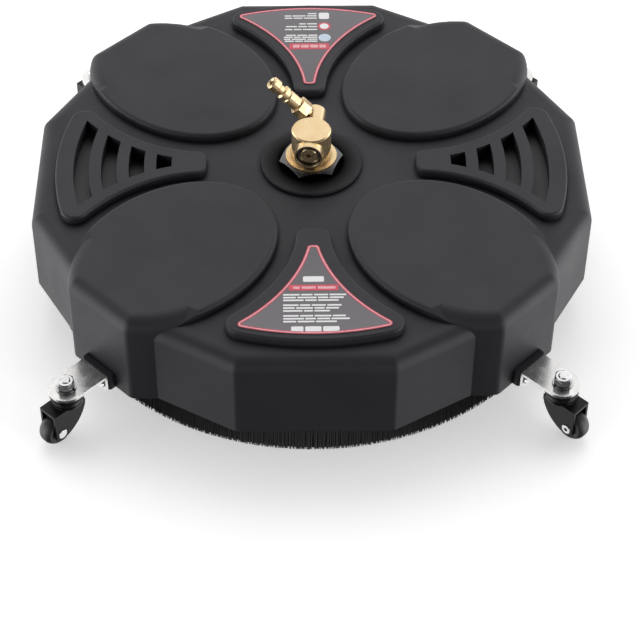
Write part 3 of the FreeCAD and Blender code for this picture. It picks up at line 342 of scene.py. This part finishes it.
def floor_material():
    """Pale matt floor with a faint tone change and a little light of its own."""
    def colour(tree):
        tone = spread(tree, noise(tree, place(tree), 1.5, 3.0), 0.3, 0.7)
        return blended(tree, tone, (0.93, 0.93, 0.93), (0.96, 0.96, 0.96))

    def gloss(tree):
        return hazy(tree, place(tree), 4.0, 3.0, 0.75, 0.9)

    def normal(tree):
        return relief(tree, noise(tree, place(tree), 400.0), 0.00003)
    made = finish_of("floor_look", colour, gloss, normal, specular=0.2)
    shader = made.node_tree.nodes["Principled BSDF"]
    plug(made.node_tree, shader.inputs["Emission Color"], (1.0, 1.0, 1.0))
    plug(made.node_tree, shader.inputs["Emission Strength"], FLOOR_GLOW)
    return made


def slot_materials():
    """One finished material for each of the record's material slots."""
    return {
        "housing_plastic": moulded("housing_look", (0.0290, 0.0280, 0.0335), (0.0330, 0.0320, 0.0380),
                                   0.50, 0.00004, 0.35, wear_and_highlight=(0.08, 0.08, 0.085),
                                   crease=0.006),
        "carrier_plastic": moulded("carrier_look", (0.012, 0.012, 0.013), (0.024, 0.024, 0.026),
                                   0.60, 0.00004, 0.35),
        # The fork's pale edge colour is a painted highlight on its rounded edges
        "fork_plastic": moulded("fork_look", (0.005, 0.005, 0.006), (0.008, 0.008, 0.009),
                                0.34, 0.000015, 0.28, 0.0006, (0.55, 0.55, 0.56)),
        "wheel_plastic": moulded("wheel_look", (0.024, 0.024, 0.026), (0.036, 0.036, 0.039),
                                 0.40, 0.00003, 0.45, 0.0005),
        "black_rubber": moulded("rubber_look", (0.010, 0.010, 0.010), (0.020, 0.020, 0.020),
                                0.72, 0.00003, 0.3),
        "seal_polymer": moulded("seal_look", (0.03, 0.07, 0.05), (0.05, 0.11, 0.07), 0.38, 0.00002),
        # The black nut's sides are painted darker than its top: painted shade
        "black_nut": metal("black_nut_look", (0.13, 0.128, 0.135), (0.19, 0.187, 0.19), 0.22,
                           plain_marks, 0.0005, stained=0.05, side=(0.02, 0.02, 0.024)),
        "black_cup": metal("black_cup_look", (0.035, 0.035, 0.037), (0.06, 0.06, 0.063), 0.28,
                           turned_marks, thread=1.7 * MM, coat=0.3, stained=0.04),
        "yellow_brass": metal("brass_look", (0.83, 0.61, 0.33), (0.92, 0.71, 0.43), 0.25,
                              turned_marks, 0.0004, stain=(0.45, 0.26, 0.09), stained=0.05,
                              depth=0.000003, hollow_shade=(0.06, 0.025, 0.012), metallic=0.86),
        "plated_steel": metal("plated_look", (0.78, 0.78, 0.79), (0.90, 0.90, 0.91), 0.16,
                              plain_marks, stain=(0.45, 0.42, 0.38), hollow_shade=(0.04, 0.04, 0.045)),
        "stainless": metal("stainless_look", (0.80, 0.79, 0.78), (0.90, 0.89, 0.88), 0.24,
                           brushed_marks, 0.0004, stain=(0.50, 0.47, 0.44), stained=0.15,
                           depth=0.000002, hollow_shade=(0.06, 0.06, 0.065)),
        "arm_stainless": metal("arm_look", (0.66, 0.66, 0.66), (0.80, 0.80, 0.80), 0.24,
                               drawn_marks, stain=(0.45, 0.42, 0.36), stained=0.3),
        "bearing_steel": metal("bearing_look", (0.72, 0.73, 0.75), (0.85, 0.86, 0.88), 0.10,
                               turned_marks, stained=0.03),
        "label_film": film_material(),
        "bristle_nylon": bristle_material(),
    }


def dress_cad(looks):
    """Give every CAD node the finish of its slot; studs, nozzles and baffles have their own."""
    special = {
        "caster_studs": metal("stud_look", (0.76, 0.76, 0.77), (0.88, 0.88, 0.89), 0.18,
                              plain_marks, thread=1.25 * MM),
        "nozzle_left": metal("nozzle_look", (0.74, 0.74, 0.75), (0.88, 0.88, 0.89), 0.17,
                             plain_marks, thread=1.3 * MM)}
    special["nozzle_right"] = special["nozzle_left"]
    # The baffles are housing plastic painted paler: painted light where they sit in shade
    special["vent_baffles"] = moulded("baffle_look", (0.09, 0.088, 0.094), (0.12, 0.117, 0.124),
                                       0.55, 0.00004, 0.3)
    for part in frame["record"]["subparts"]:
        thing = NODES[part["node"]]
        look = special.get(part["node"], looks[part["material_slot"]])
        for holder in thing.material_slots:
            holder.material = look


# ---------------------------------------------------------------- geometry helpers
def mesh_object(name, form, look):
    """Object from a bmesh."""
    mesh = bpy.data.meshes.new(name)
    form.to_mesh(mesh)
    form.free()
    mesh.materials.append(look)
    made = bpy.data.objects.new(name, mesh)
    bpy.context.scene.collection.objects.link(made)
    return made


def flat_shape(name, loops, low, thick, look):
    """Thin plate whose outline, and any hole, are closed loops of (x, y) points."""
    curve = bpy.data.curves.new(name + "_curve", "CURVE")
    curve.dimensions = "2D"
    curve.fill_mode = "BOTH"
    curve.extrude = thick / 2
    for loop in loops:
        spline = curve.splines.new("POLY")
        spline.points.add(len(loop) - 1)
        for point, (x, y) in zip(spline.points, loop):
            point.co = (x, y, 0.0, 1.0)
        spline.use_cyclic_u = True
    drawn = bpy.data.objects.new(name + "_drawn", curve)
    bpy.context.scene.collection.objects.link(drawn)
    mesh = bpy.data.meshes.new_from_object(drawn.evaluated_get(bpy.context.evaluated_depsgraph_get()))
    bpy.data.objects.remove(drawn)
    mesh.transform(Matrix.Translation((0, 0, low + thick / 2)))
    mesh.materials.clear()
    mesh.materials.append(look)
    made = bpy.data.objects.new(name, mesh)
    bpy.context.scene.collection.objects.link(made)
    return made


def top_loop(node):
    """Outline of a CAD node's top face, counter-clockwise, as (x, y) points."""
    form = bmesh.new()
    form.from_mesh(NODES[node].data)
    bmesh.ops.remove_doubles(form, verts=form.verts, dist=1e-6)
    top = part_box(node)[1].z
    flat = {face for face in form.faces if all(abs(v.co.z - top) < 1e-5 for v in face.verts)}
    links = {}
    for face in flat:
        for loop in face.loops:
            if sum(other in flat for other in loop.edge.link_faces) == 1:
                links[loop.vert] = loop.link_loop_next.vert
    start = next(iter(links))
    walk = [start]
    while links[walk[-1]] is not start:
        walk.append(links[walk[-1]])
    points = [Vector((vert.co.x, vert.co.y)) for vert in walk]
    form.free()
    return points


def subdivided(loop, step):
    """The loop with points added so that none are further apart than step."""
    made = []
    for here, after in zip(loop, loop[1:] + loop[:1]):
        count = max(1, math.ceil((after - here).length / step))
        made += [here.lerp(after, index / count) for index in range(count)]
    return made


def to_segment(spot, start, stop):
    """Distance from a point to a straight piece of outline."""
    run = stop - start
    part = max(0.0, min(1.0, (spot - start).dot(run) / max(run.length_squared, 1e-12)))
    return (spot - start - run * part).length


def inset(loop, depth):
    """Loop moved inwards, without the points that fall too near the outline."""
    moved = []
    pairs = list(zip(loop, loop[1:] + loop[:1]))
    for before, here, after in zip(loop[-1:] + loop[:-1], loop, loop[1:] + loop[:1]):
        way = (after - before).normalized()
        spot = here + Vector((-way.y, way.x)) * depth
        if min(to_segment(spot, start, stop) for start, stop in pairs) > depth * 0.985:
            moved.append(spot)
    return moved


def bar_loop(centre, along, across, length, width):
    """Rectangle with rounded corners, centred and turned."""
    radius = min(width, length) * BAR_ROUND
    made = []
    for corner in range(4):
        sign_u = 1 if corner in (0, 3) else -1
        sign_v = 1 if corner in (0, 1) else -1
        for step in range(5):
            angle = math.radians(90 * corner + 22.5 * step)
            u = sign_u * (length / 2 - radius) + radius * math.cos(angle)
            v = sign_v * (width / 2 - radius) + radius * math.sin(angle)
            made.append(centre + along * u + across * v)
    return made


def disc_loop(centre, radius):
    """Circle drawn with 30 points."""
    return [centre + Vector((math.cos(math.radians(a)), math.sin(math.radians(a)))) * radius
            for a in range(0, 360, 12)]


# ---------------------------------------------------------------- printed labels
# Millimetres, apart from BAR_ROUND, which is a share of a bar's shorter side
BAR_ROUND = 0.2
INK_THICK = 0.08
INK_STEP = 0.03
OUTLINE_STEP = 1.2
ROOM_REACH = 2.5
ROOM_MARGIN = 3.2
# The pink line along the middle of the red border is a painted highlight
BORDERS = (("border", "red", 0.1, 2.5, 0.0), ("border_highlight", "pink", 0.9, 1.7, INK_STEP))


def label_art(node, side, looks):
    """Red outline with a painted highlight line along it, bands, bars and discs printed on a label.
    side is -1 in front, 1 behind.
    """
    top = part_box(node)[1].z
    ink = INK_THICK * MM
    outline = subdivided(top_loop(node), OUTLINE_STEP * MM)
    for name, ink_look, near, far, lift in BORDERS:
        border = flat_shape("%s_%s" % (node, name), [inset(outline, near * MM),
                                                     inset(outline, far * MM)],
                            top + lift * MM, ink, looks[ink_look])
        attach(border, "deck")
    along = Vector((-side, 0.0))
    across = Vector((0.0, -side))
    shapes = {}
    for colour, reach, sideways, length, width in FRONT_PRINT if side < 0 else REAR_PRINT:
        centre = Vector((0.0, side * reach * MM)) + along * sideways * MM
        if length == 0:
            loop = disc_loop(centre, width * MM)
        else:
            loop = bar_loop(centre, along, across,
                            min(length * MM, 2 * room(outline, side * reach * MM)), width * MM)
        shapes.setdefault(colour, []).append(loop)
    for level, (colour, loops) in enumerate(shapes.items()):
        piece = flat_shape("%s_%s_print" % (node, colour), loops, top + INK_STEP * MM * level,
                           ink, looks[colour.split("_")[0]])
        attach(piece, "deck")


def room(outline, height):
    """Half width that a band has inside the red outline at a given distance out."""
    near = [abs(spot.x) for spot in outline if abs(spot.y - height) < ROOM_REACH * MM]
    return min(near) - ROOM_MARGIN * MM


def row(reach, lengths, start=-24.5, width=1.7, gap=1.1, colour="white"):
    """Short bars side by side, all starting at the same margin."""
    made = []
    edge = start
    for length in lengths:
        made.append((colour, reach, edge + length / 2, length, width))
        edge += length + gap
    return made


# Colour, distance from the hub, sideways offset, length (0 for a disc) and width, in millimetres
FRONT_PRINT = ([("white", 148, -0.5, 16.5, 6.2), ("red", 157.6, -0.5, 43, 6.4)]
               + row(157.6, (5, 11, 14), -16.5, 2.6, 1.6, "pink_bar")
               + row(165.4, (13, 9, 11, 13)) + row(168.5, (10, 15, 8, 11)) + row(171.5, (16, 9, 16))
               + row(176.9, (12, 8, 11, 11)) + row(180.0, (9, 13, 8, 10)) + row(183.1, (15, 7, 12))
               + row(188.5, (12, 10, 13, 10)) + row(191.6, (16, 8, 10, 14)) + row(194.7, (10, 13, 16))
               + row(202.6, (9.5, 12.5, 12.5), -18.5, 5.4, 1.3))
REAR_PRINT = ([("red", 150.5, -0.5, 42, 8.6), ("pale", 163, -14.5, 0, 5.6),
               ("red", 180, -14.5, 0, 5.8), ("white_bar", 180, -14.5, 0, 4.0),
               ("white", 195.5, -14.5, 9.5, 9.5)]
              + row(150.5, (6, 7, 7, 6), -15.5, 4.2, 1.2, "pink_bar")
              + row(157.9, (12, 7, 8), -8) + row(160.8, (9, 13, 6), -8)
              + row(163.7, (14, 6, 8), -8) + row(166.6, (8, 9, 9), -8)
              + row(175.2, (13, 7, 7), -8) + row(179.5, (8, 8, 10), -8) + row(183.6, (9, 6), -8)
              + row(192.2, (12, 8, 7), -8) + row(195.6, (9, 12, 6), -8) + row(199.0, (8,), -8))


# ---------------------------------------------------------------- bristles
# Millimetres, apart from the seed and the numbers of rows and steps
SEED = 7
ROWS = 6
ROW_START = 0.9
ROW_LOSS = 1.7
PITCH = 1.5
OUTER_PITCH = 0.85
JITTER = 0.3
CORE_INSET = 1.8
CORE_LOW = 1.2
CORE_DROP = 1
CORE_STEPS = 180
LEAN = 0.6
SPLAY = (0.1, 0.3)
FOOT = 0.3
OUTER_GAP = 1.45
TUFT_LEVELS = ((0.0, 0.52), (0.7, 0.52), (1.0, 0.40))


def bristle_skirt(look):
    """Rows of leaning, tapered tufts of uneven length round a dark core."""
    node = NODES["brush_bristles"]
    reaches = [math.hypot(vert.co.x, vert.co.y) for vert in node.data.vertices]
    inner, outer = min(reaches), max(reaches)
    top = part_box("brush_bristles")[1].z
    dice = random.Random(SEED)
    form = bmesh.new()
    rows = ROWS
    for level in range(rows):
        share = level / (rows - 1)
        reach = inner + ROW_START * MM + (outer - inner - ROW_LOSS * MM) * share
        pitch = OUTER_PITCH if level == rows - 1 else PITCH
        count = int(2 * math.pi * reach / (pitch * MM))
        for index in range(count):
            angle = 2 * math.pi * (index + dice.uniform(-JITTER, JITTER)) / count
            add_tuft(form, dice, reach, angle, top, outer)
    add_core(form, inner + CORE_INSET * MM, outer - CORE_INSET * MM, CORE_LOW * MM,
             top - CORE_DROP * MM)
    made = mesh_object("bristle_skirt", form, look)
    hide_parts("brush_bristles")
    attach(made, "deck")


def add_tuft(form, dice, reach, angle, top, outer):
    """One tuft: a four-sided strand in three levels that leans and thins to its tip."""
    lean = dice.gauss(0, LEAN) * MM
    splay = dice.gauss(*SPLAY) * MM
    foot = abs(dice.gauss(0, FOOT)) * MM
    rings = []
    for share, half in TUFT_LEVELS:
        height = top + (foot - top) * share
        bend = share * share
        out = min(reach + splay * bend, outer - half * MM * OUTER_GAP)
        turn = angle + lean * bend / reach
        centre = Vector((out * math.cos(turn), out * math.sin(turn), height))
        radial = Vector((math.cos(turn), math.sin(turn), 0.0)) * half * MM
        tangent = Vector((-math.sin(turn), math.cos(turn), 0.0)) * half * MM
        rings.append([form.verts.new(centre + radial), form.verts.new(centre + tangent),
                      form.verts.new(centre - radial), form.verts.new(centre - tangent)])
    for upper, lower in zip(rings, rings[1:]):
        for side in range(4):
            after = (side + 1) % 4
            form.faces.new((upper[side], lower[side], lower[after], upper[after]))
    form.faces.new(rings[0])
    form.faces.new(rings[-1][::-1])


def add_core(form, inner, outer, low, high):
    """Closed ring that keeps light from passing between the rows."""
    loops = []
    for index in range(CORE_STEPS):
        angle = 2 * math.pi * index / CORE_STEPS
        way = Vector((math.cos(angle), math.sin(angle), 0.0))
        loops.append([form.verts.new(way * reach + Vector((0, 0, height)))
                      for reach, height in ((outer, low), (outer, high), (inner, high), (inner, low))])
    for here, after in zip(loops, loops[1:] + loops[:1]):
        for side in range(4):
            nearby = (side + 1) % 4
            form.faces.new((here[side], after[side], after[nearby], here[nearby]))


# ---------------------------------------------------------------- stage
FLOOR_HALF = 6.0
FLOOR_DROP = 0.0002
LIGHT_TARGET = (0, 0, 0.05)
SIDE_SKY = 2.9
FRONT_SKY = 0.55
LEAST_SKY = 0.05
# Name, place, width, height, power and whether reflections show it
LIGHTS = (("light_above", (0.0, 1.3, 2.2), 2.0, 1.6, 15, False),
          ("strip_left", (-1.5, -1.6, 0.7), 0.16, 0.9, 2.4, True),
          ("strip_right", (1.7, -1.3, 0.7), 0.16, 0.9, 2.4, True))


def aim(thing, spot, target, roll=0.0):
    """Point a light or the camera at a target."""
    back = (spot - target).normalized()
    right = Vector((0, 0, 1)).cross(back).normalized()
    up = back.cross(right)
    turn = math.radians(roll)
    level = right * math.cos(turn) + up * math.sin(turn)
    upright = up * math.cos(turn) - right * math.sin(turn)
    pose = Matrix((level, upright, back)).transposed().to_4x4()
    pose.translation = spot
    thing.matrix_world = pose


def make_camera():
    """The one camera, aimed at the hub axis."""
    lens = bpy.data.cameras.new("camera")
    lens.sensor_width = SENSOR
    lens.lens = LENS
    lens.shift_x, lens.shift_y = SHIFT
    lens.clip_start, lens.clip_end = CLIP
    camera = bpy.data.objects.new("camera", lens)
    bpy.context.scene.collection.objects.link(camera)
    rise, turn = math.radians(ELEVATION), math.radians(AZIMUTH)
    back = Vector((math.sin(turn) * math.cos(rise), -math.cos(turn) * math.cos(rise),
                   math.sin(rise)))
    target = Vector((0, 0, AIM_HEIGHT))
    aim(camera, target + back * DISTANCE, target, ROLL)
    bpy.context.scene.camera = camera


def soft_box(name, spot, width, height, power, mirrored):
    """Rectangular studio light aimed at the machine."""
    light = bpy.data.lights.new(name, "AREA")
    light.shape = "RECTANGLE"
    light.size = width
    light.size_y = height
    light.energy = power
    made = bpy.data.objects.new(name, light)
    bpy.context.scene.collection.objects.link(made)
    aim(made, Vector(spot), Vector(LIGHT_TARGET))
    made.visible_glossy = mirrored


def surround():
    """Sky: bright behind and low at the sides, a weak low band in front, dark high up in front."""
    world = bpy.data.worlds.new("surround")
    world.use_nodes = True
    tree = world.node_tree
    way = parts_of(tree, add(tree, "ShaderNodeTexCoord").outputs["Generated"])
    behind = spread(tree, way[1], -0.10, 0.50)
    aside = maths(tree, "MULTIPLY", spread(tree, maths(tree, "ABSOLUTE", way[0]), 0.55, 0.95),
                  spread(tree, way[2], 0.55, 0.30))
    band = maths(tree, "MULTIPLY", spread(tree, way[2], -0.30, -0.10),
                 spread(tree, way[2], 0.30, 0.05))
    light = maths(tree, "MAXIMUM", behind, maths(tree, "MULTIPLY", aside, SIDE_SKY))
    light = maths(tree, "MAXIMUM", light, maths(tree, "MULTIPLY", band, FRONT_SKY))
    sky = tree.nodes["Background"]
    plug(tree, sky.inputs[0], (1.0, 1.0, 1.0))
    plug(tree, sky.inputs[1], maths(tree, "ADD", light, LEAST_SKY))
    bpy.context.scene.world = world


def make_stage():
    """Pale floor, a lit surround, a soft box overhead and two strips that streak the metal."""
    form = bmesh.new()
    bmesh.ops.create_grid(form, x_segments=24, y_segments=24, size=FLOOR_HALF)
    floor = mesh_object("floor", form, floor_material())
    floor.location.z = -FLOOR_DROP
    floor.visible_diffuse = False
    floor.visible_glossy = False
    for light in LIGHTS:
        soft_box(*light)
    surround()
    bpy.context.scene.view_settings.view_transform = "Standard"
    bpy.context.scene.view_settings.look = "None"


def build():
    """Camera, stage, finishes, printing and bristles."""
    make_camera()
    make_stage()
    looks = slot_materials()
    inks = {"red": print_material("red_ink", (0.66, 0.05, 0.09), (0.80, 0.10, 0.15)),
            "pink": print_material("pink_ink", (0.88, 0.40, 0.44), (0.94, 0.56, 0.60)),
            "white": print_material("white_ink", (0.92, 0.92, 0.92), (0.98, 0.98, 0.98)),
            "pale": print_material("pale_ink", (0.60, 0.72, 0.84), (0.70, 0.80, 0.90))}
    dress_cad(looks)
    label_art("front_label", -1, inks)
    label_art("rear_label", 1, inks)
    bristle_skirt(looks["bristle_nylon"])


build()
